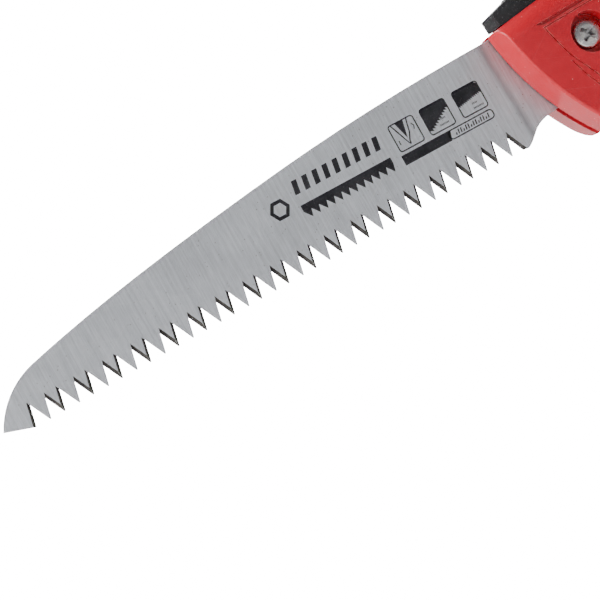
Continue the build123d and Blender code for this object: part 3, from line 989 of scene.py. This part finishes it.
# ---- blade ---------------------------------------------------------------------
@dataclass
class Blade:
    """Pull-cut blade with its taper grind, gullet facets painted near-black for their dark reflection, and
    printed marks.
    """

    palette: Palette
    half_thickness: float = 0.625
    grind: float = 0.07
    crease: tuple[tuple[float, float], tuple[float, float]] = ((-28.9, 12.0), (-27.3, -17.0))
    ramp: float = 2.6
    spine_chamfer: float = 0.3
    spine: Outline = ((-190.5, -7.1), (-154.0, 0.4), (-116.2, 6.0), (-57.0, 11.7), (-24.0, 12.8))
    gullet_top: float = -14.6
    toothed_to: float = -28.0
    ink: float = 0.015
    frame_line: float = 0.38

    def ground(self) -> bpy.types.Mesh:
        """Return the blade with its ground faces, chamfered spine and gullet facets painted near-black for
        their dark reflection.

        Returns:
            The mesh with its two materials.
        """
        work = open_copy("blade")
        self.thin(work)
        self.chamfer(work)
        mesh = close_mesh(work, "ground_blade", None)
        mesh.materials.append(self.palette.steel)
        mesh.materials.append(self.palette.gullet_painted_dark)
        # Facets below the gullet line that turn away from the flanks get the near-black finish: a painted
        # dark reflection.
        for face in mesh.polygons:
            centre = (face.center - PIVOT) / MM
            if abs(face.normal.y) < 0.97 and centre.x < self.toothed_to and centre.z < self.gullet_top:
                face.material_index = 1
        return mesh

    def thin(self, work: bmesh.types.BMesh) -> None:
        """Press the faces in front of the crease towards mid plane, with a ramp.

        Args:
            work: the blade's geometry.
        """
        upper, lower = (from_pivot(*point) for point in self.crease)
        across = (lower - upper).cross(Vector((0.0, 1.0, 0.0))).normalized()
        across = across if across.x < 0 else -across
        foot = upper + across * self.ramp * MM
        for point in (upper, foot):
            parts = [*work.verts, *work.edges, *work.faces]
            bmesh.ops.bisect_plane(work, geom=parts, dist=1e-7, plane_co=point, plane_no=across)
        full = self.half_thickness * MM
        for vert in work.verts:
            share = min(max((vert.co - upper).dot(across) / (self.ramp * MM), 0.0), 1.0)
            if abs(abs(vert.co.y) - full) < 1e-5:
                vert.co.y *= 1.0 - share * self.grind / self.half_thickness

    def chamfer(self, work: bmesh.types.BMesh) -> None:
        """Break the two long edges of the spine.

        Args:
            work: the blade's geometry.
        """
        edges = []
        for edge in work.edges:
            middle = ((edge.verts[0].co + edge.verts[1].co) / 2 - PIVOT) / MM
            flats = sorted(abs(face.normal.y) for face in edge.link_faces)
            between = len(flats) == 2 and flats[0] < 0.3 and flats[1] > 0.9
            on_spine = -190 < middle.x < -26 and middle.z > height_at(middle.x, self.spine) - 1
            if between and on_spine:
                edges.append(edge)
        soften(work, edges, self.spine_chamfer, 1)

    def plate(self, work: bmesh.types.BMesh, outline: Outline) -> None:
        """Add one flat field of ink in a closed outline.

        Args:
            work: the geometry that is added to.
            outline: corners of the field.
        """
        top, low = (-(self.half_thickness - self.grind + out) for out in (self.ink, -self.ink))
        outer = [work.verts.new(from_pivot(x, z, top)) for x, z in outline]
        inner = [work.verts.new(from_pivot(x, z, low)) for x, z in outline]
        work.faces.new(outer)
        work.faces.new(inner[::-1])
        for i, vert in enumerate(outer):
            j = (i + 1) % len(outer)
            work.faces.new((vert, inner[i], inner[j], outer[j]))

    def line(self, work: bmesh.types.BMesh, points: Outline, width: float) -> None:
        """Add a mitred stroke of ink through open points.

        Args:
            work: the geometry that is added to.
            points: the stroke from end to end.
            width: its width.
        """
        left, right = [], []
        for i, (x, z) in enumerate(points):
            before = Vector(points[max(i - 1, 0)])
            after = Vector(points[min(i + 1, len(points) - 1)])
            way = (after - before).normalized() * width / 2
            left.append((x - way.y, z + way.x))
            right.append((x + way.y, z - way.x))
        self.plate(work, [*left, *right[::-1]])

    def box_line(self, work: bmesh.types.BMesh, low: tuple, high: tuple, radius: float) -> None:
        """Add a rounded rectangular frame of ink between two corners.

        Args:
            work: the geometry that is added to.
            low: the corner nearest the tip and teeth.
            high: the corner nearest the butt and back.
            radius: rounding of the corners.
        """
        points = []
        for x, z, start in (
            (high[0] - radius, high[1] - radius, 0),
            (low[0] + radius, high[1] - radius, 90),
            (low[0] + radius, low[1] + radius, 180),
            (high[0] - radius, low[1] + radius, 270),
        ):
            for step in range(6):
                angle = math.radians(start + step * 18)
                points.append((x, z, math.cos(angle), math.sin(angle)))
        outer = [(x + radius * c, z + radius * n) for x, z, c, n in points]
        bore = radius - self.frame_line
        inner = [(x + bore * c, z + bore * n) for x, z, c, n in points]
        for i in range(len(outer)):
            j = (i + 1) % len(outer)
            self.plate(work, (outer[i], outer[j], inner[j], inner[i]))

    @staticmethod
    def toothed(start: tuple, end: tuple, count: int, depth: float) -> list[tuple[float, float]]:
        """Return a row of saw teeth from one point to another, on the right-hand side.

        Args:
            start: the first point.
            end: the last point.
            count: number of teeth.
            depth: their height.

        Returns:
            Points of the row.
        """
        first, last = Vector(start), Vector(end)
        step = (last - first) / count
        side = Vector((step.y, -step.x)).normalized() * depth
        row = []
        for i in range(count):
            row += [tuple(first + step * i), tuple(first + step * (i + 0.75) + side)]
        return [*row, tuple(last)]

    def marks(self) -> bpy.types.Mesh:
        """Return the printed marks: three tooth pictures, a title bar and two plain ornaments.

        Returns:
            The marks as one mesh.
        """
        work = bmesh.new()
        low, high, dash_pitch = -4.5, 4.3, 0.45
        for left, right in ((-66.5, -57.7), (-55.6, -46.6), (-44.1, -35.0)):
            self.box_line(work, (left, low), (right, high), 1.0)
        self.plate(work, ((-63.9, 4.1), (-61.1, 4.1), (-62.3, -1.5)))
        self.line(work, ((-65.3, 3.9), (-62.6, -2.9), (-61.9, -3.0)), 0.35)
        self.line(work, ((-60.0, 3.9), (-61.0, -0.2), (-62.0, -2.2), (-62.3, -3.4)), 0.4)
        self.line(work, ((-59.3, 2.0), (-58.8, 1.0), (-59.2, 0.0)), 0.3)
        self.line(work, ((-65.2, -1.0), (-65.2, -2.4)), 0.3)
        steep = self.toothed((-55.0, -3.0), (-46.9, 1.8), 10, 0.9)
        self.plate(work, [(-46.9, 4.1), (-55.3, 4.1), (-55.3, -3.0), *steep])
        flat = self.toothed((-43.8, -0.6), (-35.3, 0.9), 13, 0.7)
        self.plate(work, [(-35.3, 3.2), (-36.2, 4.1), (-43.8, 4.1), (-43.8, -0.6), *flat])
        for x, z, wide in ((-50.6, -1.4, 1.6), (-51.6, -3.1, 3.0), (-39.6, -1.9, 1.6), (-39.8, -3.3, 3.6)):
            for i in range(round(wide / dash_pitch)):
                left, top = x + i * dash_pitch, z + 0.5
                self.plate(work, ((left, z), (left + 0.26, z), (left + 0.36, top), (left + 0.1, top)))
        self.plate(work, ((-66.9, -8.4), (-50.6, -8.4), (-49.6, -5.3), (-66.9, -5.3)))
        self.box_line(work, (-50.9, -8.4), (-34.9, -5.3), 1.3)
        for i in range(14):
            x, tall = -48.6 + i * 0.88, 1.5 if i % 3 else 0.8
            self.plate(work, ((x, -7.6), (x + 0.38, -7.6), (x + 0.58, -7.6 + tall), (x + 0.2, -7.6 + tall)))
        for i in range(9):
            x = -100.6 + i * 3.45
            self.plate(work, ((x, -0.7), (x + 1.7, -0.7), (x + 2.4, 3.5), (x + 0.7, 3.5)))
        strip = self.toothed((-100.9, -6.0), (-70.0, -6.0), 12, 2.4)
        self.plate(work, [(-70.0, -4.0), (-100.9, -4.0), *strip])
        for i in range(6):
            angle, after = math.radians(60 * i), math.radians(60 * i + 60)
            corners = ((3.3, angle), (3.3, after), (2.1, after), (2.1, angle))
            side = [(-106.8 + r * math.cos(a), -2.2 + r * math.sin(a)) for r, a in corners]
            self.plate(work, side)
        bmesh.ops.recalc_face_normals(work, faces=work.faces)
        return close_mesh(work, "printed_marks", None)

    def build(self) -> None:
        """Make the blade and its marks."""
        new_piece("saw_blade", self.ground(), Body.BLADE, "blade_steel", None, "blade")
        new_piece("blade_marks", self.marks(), Body.BLADE, "blade_steel", self.palette.ink)


# ---- handle --------------------------------------------------------------------
@dataclass
class Grips:
    """Soft inlays with raised ribs on both flanks and along the back."""

    palette: Palette
    ribs: RibRun
    top: Outline = (
        (36.0, 4.0),
        (44.0, 11.4),
        (62.0, 12.6),
        (100.0, 8.9),
        (125.0, 5.8),
        (160.0, 1.6),
        (183.0, -1.4),
        (195.0, -8.0),
    )
    bottom: Outline = (
        (37.0, -8.0),
        (48.0, -16.4),
        (80.0, -18.4),
        (130.0, -18.6),
        (186.0, -17.0),
        (195.0, -8.0),
    )
    run: tuple[float, float] = (47.0, 184.0)
    rim: float = 1.5
    border: float = 0.7
    recess: float = 0.55
    rib_width: float = 1.15
    rib_rise: float = 0.5
    count: int = 33
    lean: float = 18.0

    def pad(self, node: str, flank: Flank) -> bpy.types.Mesh:
        """Return a flank inlay with a rounded rim and a recessed field.

        Args:
            node: the inlay's CAD node.
            flank: the side it lies on.

        Returns:
            The inlay.
        """
        work = open_copy(node)
        soften(work, rim_of(cap_of(work, 1, flank.value)), self.rim, 4)
        cap = cap_of(work, 1, flank.value)
        bmesh.ops.inset_region(work, faces=cap, thickness=self.border * MM, use_even_offset=True)
        bmesh.ops.inset_region(
            work, faces=cap, thickness=self.recess * MM, depth=-self.recess * MM, use_even_offset=True
        )
        return settled(close_mesh(work, node + "_pad", 40.0))

    def field_path(self, node: str, flank: Flank) -> list[tuple[Vector, Vector, float]]:
        """Return the run of ribs down the middle of a flank inlay.

        Args:
            node: the inlay's CAD node.
            flank: the side it lies on.

        Returns:
            Point, outward direction and half length along the run.
        """
        starts, halves = [], []
        for step in range(40):
            x = self.run[0] + (self.run[1] - self.run[0]) * step / 39
            high, low = height_at(x, self.top), height_at(x, self.bottom)
            starts.append(from_pivot(x, (high + low) / 2, flank.value * 30.0))
            halves.append(((high - low) / 2 - 2.3) * MM)
        return path_over(node, starts, Vector((0.0, -flank.value, 0.0)), halves, self.recess * MM)

    def band(self) -> bpy.types.Mesh:
        """Return the back inlay with softened edges.

        Returns:
            The inlay.
        """
        work = open_copy("back_grip")
        inner = [edge for edge in work.edges if len(edge.link_faces) == 2]
        edges = [edge for edge in inner if edge.calc_face_angle(0.0) > 0.8]
        soften(work, edges, 0.4, 3)
        return close_mesh(work, "back_band", 40.0)

    def band_path(self) -> list[tuple[Vector, Vector, float]]:
        """Return the run of ribs along the back."""
        starts = [from_pivot(56.0 + 128.0 * step / 47, 60.0) for step in range(48)]
        return path_over("back_grip", starts, Vector((0.0, 0.0, -1.0)), [4.3 * MM] * 48, 0.05 * MM)

    def build(self) -> None:
        """Make the inlays and their ribs."""
        material = self.palette.grip
        sizes = {"Width": self.rib_width * MM, "Height": self.rib_rise * MM}
        for flank, node in ((Flank.NEAR, "near_grip"), (Flank.FAR, "far_grip")):
            new_piece(node + "_pad", self.pad(node, flank), Body.HANDLE, "black_grip", material, node)
            lean = math.radians(self.lean) * flank.value
            ribs = self.ribs.lay(
                node + "_ribs", self.field_path(node, flank), material, Count=self.count, Lean=lean, **sizes
            )
            new_piece(node + "_ribs", ribs, Body.HANDLE, "black_grip", None)
        new_piece("back_grip_band", self.band(), Body.HANDLE, "black_grip", material, "back_grip")
        ribs = self.ribs.lay("back_grip_ribs", self.band_path(), material, Count=36, Lean=0.0, **sizes)
        new_piece("back_grip_ribs", ribs, Body.HANDLE, "black_grip", None)


@dataclass
class Fixings:
    """Pivot screw, shell screws and the plain hardware."""

    palette: Palette
    head_radius: float = 4.5
    head: tuple[float, float] = (6.7, 9.3)
    shank_radius: float = 2.5
    shank_end: float = 11.9
    recess_turns: tuple[float, float] = (-38.0, 52.0)
    screw_spots: Outline = ((60.0, 17.2), (125.0, 9.2), (183.0, 4.2), (213.4, -13.0))
    screw_radius: float = 2.6
    screw_seat: float = 7.6
    screw_top: float = 9.4

    def pivot_screw(self) -> bpy.types.Mesh:
        """Return the pan-head pivot screw with its tapered cross recess.

        Returns:
            The screw with its two materials.
        """
        seat, crown = (-value for value in self.head)
        radius = self.head_radius
        profile = [
            (0.0, crown),
            (radius * 0.3, crown + 0.02),
            (radius * 0.6, crown + 0.12),
            (radius * 0.84, crown + 0.36),
            (radius * 0.96, crown + 0.75),
            (radius, crown + 1.3),
            (radius, seat - 0.2),
            (radius - 0.2, seat),
            (self.shank_radius, seat),
            (self.shank_radius, self.shank_end - 0.4),
            (self.shank_radius - 0.4, self.shank_end),
            (0.0, self.shank_end),
        ]
        depth = (crown - 0.3, crown + 1.9)
        wings = [tapered_bar((6.0, 1.5), (2.2, 0.8), depth, turn) for turn in self.recess_turns]
        hub = [tapered_bar((3.0, 3.0), (1.0, 1.0), depth, self.recess_turns[0] + 45.0)]
        mesh = settled(moved(carve(turned(profile, 64), [*wings, *hub]), PIVOT))
        mesh.materials.clear()
        mesh.materials.append(self.palette.bright)
        mesh.materials.append(self.palette.hardware)
        for face in mesh.polygons:
            centre = (face.center - PIVOT) / MM
            inner = math.hypot(centre.x, centre.z) < radius * 0.75 and crown + 0.2 < centre.y < crown + 2.4
            face.material_index = 1 if inner else 0
        return mesh

    def screw_blank(self) -> bpy.types.Object:
        """Return one shell screw at the origin, with a cross recess in its head.

        Returns:
            The screw, to be removed after use.
        """
        top, seat, radius = self.screw_top, self.screw_seat, self.screw_radius
        profile = [
            (0.0, top),
            (radius * 0.5, top - 0.03),
            (radius * 0.85, top - 0.25),
            (radius, top - 0.8),
            (radius, seat),
            (1.3, seat),
            (1.3, -7.4),
            (0.7, -8.0),
            (0.0, -8.0),
        ]
        depth = (top + 0.2, top - 1.2)
        wings = [tapered_bar((3.4, 0.75), (1.6, 0.45), depth, turn) for turn in (20.0, 110.0)]
        blank = bpy.data.objects.new("screw_blank", carve(turned(profile, 32), wings))
        bpy.context.scene.collection.objects.link(blank)
        return blank

    def shell_screws(self) -> bpy.types.Mesh:
        """Return the row of shell screws, set on their spots by Geometry Nodes.

        Returns:
            The row as one plain mesh.
        """
        group = bpy.data.node_groups.new("ScrewRow", "GeometryNodeTree")
        face = group.interface
        face.new_socket("Geometry", in_out="INPUT", socket_type="NodeSocketGeometry")
        screw, finish, turn = (
            face.new_socket(label, in_out="INPUT", socket_type=kind).identifier
            for label, kind in (
                ("Screw", "NodeSocketObject"),
                ("Finish", "NodeSocketMaterial"),
                ("Turn", "NodeSocketFloat"),
            )
        )
        face.new_socket("Geometry", in_out="OUTPUT", socket_type="NodeSocketGeometry")
        tree = Tree(group)
        source = tree.add("NodeGroupInput").outputs
        shape = tree.add("GeometryNodeObjectInfo", {"Object": source["Screw"]}).outputs["Geometry"]
        turning = {"Max": source["Turn"], "Seed": 4}
        chance = tree.add("FunctionNodeRandomValue", turning, data_type="FLOAT").outputs[1]
        angle = tree.add("ShaderNodeCombineXYZ", {1: chance}).outputs[0]
        placing = {"Points": source["Geometry"], "Instance": shape, "Rotation": angle}
        row = tree.add("GeometryNodeInstanceOnPoints", placing).outputs[0]
        real = tree.add("GeometryNodeRealizeInstances", {"Geometry": row}).outputs[0]
        dressing = {"Geometry": real, "Material": source["Finish"]}
        done = tree.add("GeometryNodeSetMaterial", dressing).outputs[0]
        tree.add("NodeGroupOutput", {"Geometry": done})
        spots = bpy.data.meshes.new("spots")
        spots.from_pydata([from_pivot(x, z) for x, z in self.screw_spots], [], [])
        row_object = bpy.data.objects.new("spots", spots)
        bpy.context.scene.collection.objects.link(row_object)
        blank = self.screw_blank()
        run = row_object.modifiers.new("screws", "NODES")
        run.node_group = group
        run[screw], run[finish], run[turn] = blank, self.palette.black, math.pi
        bpy.context.view_layer.update()
        graph = bpy.context.evaluated_depsgraph_get()
        result = bpy.data.meshes.new_from_object(row_object.evaluated_get(graph))
        bpy.data.objects.remove(row_object)
        bpy.data.objects.remove(blank)
        return settled(result)

    def build(self) -> None:
        """Make the screws and dress the other hardware."""
        new_piece("pan_head_screw", self.pivot_screw(), Body.HANDLE, "bright_plate", None, "pivot_screw")
        new_piece("shell_screw_row", self.shell_screws(), Body.HANDLE, "black_screw", None, "shell_screws")
        for node in ("pivot_nut", "spring_washer", "lanyard_sleeve"):
            dress(node, self.palette.bright)
        for node in ("near_washer", "far_washer", "pivot_bushing", "stop_pin", "lever_pin"):
            dress(node, self.palette.hardware)


@dataclass
class Shells:
    """The two moulded halves of the handle."""

    palette: Palette

    def build(self) -> None:
        """Dress both shells."""
        for node in ("near_shell", "far_shell"):
            dress(node, self.palette.shell)


@dataclass
class Lock:
    """Thumb lever with its pawl and spring."""

    palette: Palette
    ribs: RibRun
    edge: float = 0.35
    ridge_from: float = -13.5
    ridge_to: float = 1.0
    ridges: int = 8

    def lever(self) -> bpy.types.Mesh:
        """Return the lever with softened edges.

        Returns:
            The lever.
        """
        work = open_copy("lock_lever", 0.2)
        edges = [
            edge
            for edge in work.edges
            if len(edge.link_faces) == 2
            and edge.calc_face_angle(0.0) > 0.5
            and ((edge.verts[0].co + edge.verts[1].co) / 2 - PIVOT).z > 15.6 * MM
            and max(abs(vert.co.y) for vert in edge.verts) > 2.9 * MM
        ]
        soften(work, edges, self.edge, 3)
        return close_mesh(work, "thumb_lever", 35.0)

    def ridge_path(self) -> list[tuple[Vector, Vector, float]]:
        """Return the run of grip ridges up the lever's ramp.

        Returns:
            Point, outward direction and half length along the run.
        """
        span = self.ridge_to - self.ridge_from
        starts = [from_pivot(self.ridge_from + span * step / 11, 60.0) for step in range(12)]
        return path_over("lock_lever", starts, Vector((0.0, 0.0, -1.0)), [4.2 * MM] * 12, 0.08 * MM)

    def build(self) -> None:
        """Make the lever and its ridges and dress the pawl and spring."""
        new_piece("thumb_lever", self.lever(), Body.LEVER, "lever_plastic", self.palette.lever, "lock_lever")
        sizes = {"Count": self.ridges, "Width": 0.55 * MM, "Height": 0.45 * MM, "Lean": 0.0}
        ridges = self.ribs.lay("thumb_ridges", self.ridge_path(), self.palette.lever, **sizes)
        new_piece("thumb_ridges", ridges, Body.LEVER, "lever_plastic", None)
        dress("lock_pawl", self.palette.hardware)
        dress("lock_spring", self.palette.hardware)


# ---- studio --------------------------------------------------------------------
@dataclass
class Studio:
    """Camera, pale floor and soft lights."""

    eye: tuple[float, float, float] = (-242.2, -27.6, -512.4)
    swing: float = 14.0
    roll: float = 29.107
    lens: float = 110.6
    drop: float = 0.16
    reach: float = 2.6
    glow: float = 20.0

    def camera(self) -> None:
        """Place the camera, turned about the upright axis and rolled."""
        data = bpy.data.cameras.new("camera")
        data.lens = self.lens
        data.sensor_width = 36.0
        data.clip_start = 0.01
        eye = bpy.data.objects.new("camera", data)
        bpy.context.scene.collection.objects.link(eye)
        swing, roll = math.radians(self.swing), math.radians(self.roll)
        ahead = Vector((math.sin(swing), math.cos(swing), 0.0))
        level = Vector((math.cos(swing), -math.sin(swing), 0.0))
        upright = Vector((0.0, 0.0, 1.0))
        right = math.cos(roll) * level - math.sin(roll) * upright
        above = math.sin(roll) * level + math.cos(roll) * upright
        turn = Matrix((right, above, -ahead)).transposed().to_4x4()
        eye.matrix_world = Matrix.Translation(from_pivot(*self.eye)) @ turn
        bpy.context.scene.camera = eye

    def bowl(self) -> None:
        """Make the floor, which curves up far away all round."""
        work = bmesh.new()
        low = CAD_BOX[0].z - self.drop
        profile = [(0.0, 0.0), (self.reach, 0.0)]
        for step in range(1, 13):
            angle = math.pi / 2 * step / 12
            profile.append((self.reach + math.sin(angle) * 1.4, (1.0 - math.cos(angle)) * 1.4))
        profile.append((self.reach + 1.4, 5.0))
        points = [work.verts.new((x, 0.0, low + z)) for x, z in profile]
        edges = [work.edges.new(pair) for pair in zip(points, points[1:])]
        turn = {"cent": (0, 0, 0), "axis": (0, 0, 1), "angle": math.tau, "steps": 64}
        bmesh.ops.spin(work, geom=points + edges, use_merge=True, **turn)
        bmesh.ops.remove_doubles(work, verts=work.verts, dist=1e-5)
        bmesh.ops.recalc_face_normals(work, faces=work.faces)
        bmesh.ops.reverse_faces(work, faces=work.faces)
        mesh = close_mesh(work, "floor")
        floor = bpy.data.objects.new("floor", mesh)
        bpy.context.scene.collection.objects.link(floor)
        material = bpy.data.materials.new("pale_floor")
        material.use_nodes = True
        shader = material.node_tree.nodes["Principled BSDF"]
        shader.inputs["Base Color"].default_value = rgba(0.90, 0.90, 0.90)
        shader.inputs["Roughness"].default_value = 0.9
        shader.inputs["Emission Color"].default_value = rgba(1.0, 1.0, 1.0)
        tree = Tree(material.node_tree)
        seen = tree.add("ShaderNodeLightPath").outputs["Is Camera Ray"]
        tree.tree.links.new(tree.math("MULTIPLY", seen, self.glow), shader.inputs["Emission Strength"])
        mesh.materials.append(material)

    @staticmethod
    def softbox(name: str, place: Vector, target: Vector, size: tuple[float, float], power: float) -> None:
        """Hang one rectangular light.

        Args:
            name: the light's name.
            place: where it hangs, in metres.
            target: the point it faces.
            size: width and height in metres.
            power: watts.
        """
        data = bpy.data.lights.new(name, "AREA")
        data.shape = "RECTANGLE"
        data.size, data.size_y = size
        data.energy = power
        lamp = bpy.data.objects.new(name, data)
        bpy.context.scene.collection.objects.link(lamp)
        lamp.location = place
        lamp.rotation_mode = "QUATERNION"
        lamp.rotation_quaternion = (target - place).to_track_quat("-Z", "Y")

    def build(self) -> None:
        """Set up camera, floor and lights."""
        self.camera()
        self.bowl()
        world = bpy.data.worlds.new("studio")
        world.use_nodes = True
        background = world.node_tree.nodes["Background"]
        background.inputs["Color"].default_value = rgba(1.0, 1.0, 1.0)
        background.inputs["Strength"].default_value = 0.20
        bpy.context.scene.world = world
        target = from_pivot(-60.0, 0.0)
        self.softbox("key", Vector((-1.15, -0.25, 1.05)), target, (0.9, 0.7), 40.0)
        self.softbox("side", Vector((-1.60, -0.35, 0.05)), target, (0.5, 0.8), 18.0)
        self.softbox("fill", Vector((-0.10, -1.25, 0.12)), target, (1.3, 1.1), 1.0)
        self.softbox("rim", Vector((-0.1, 0.9, 0.9)), target, (1.0, 0.4), 10.0)


def main() -> None:
    """Build every sub-assembly in order."""
    logging.basicConfig(level=logging.INFO, format="%(name)s: %(message)s")
    palette = Palette.mix()
    ribs = RibRun()
    parts = (
        Studio(),
        Blade(palette),
        Shells(palette),
        Grips(palette, ribs),
        Fixings(palette),
        Lock(palette, ribs),
    )
    for part in parts:
        part.build()
        LOG.info("%s built", type(part).__name__)


if __name__ == "__main__":
    main()
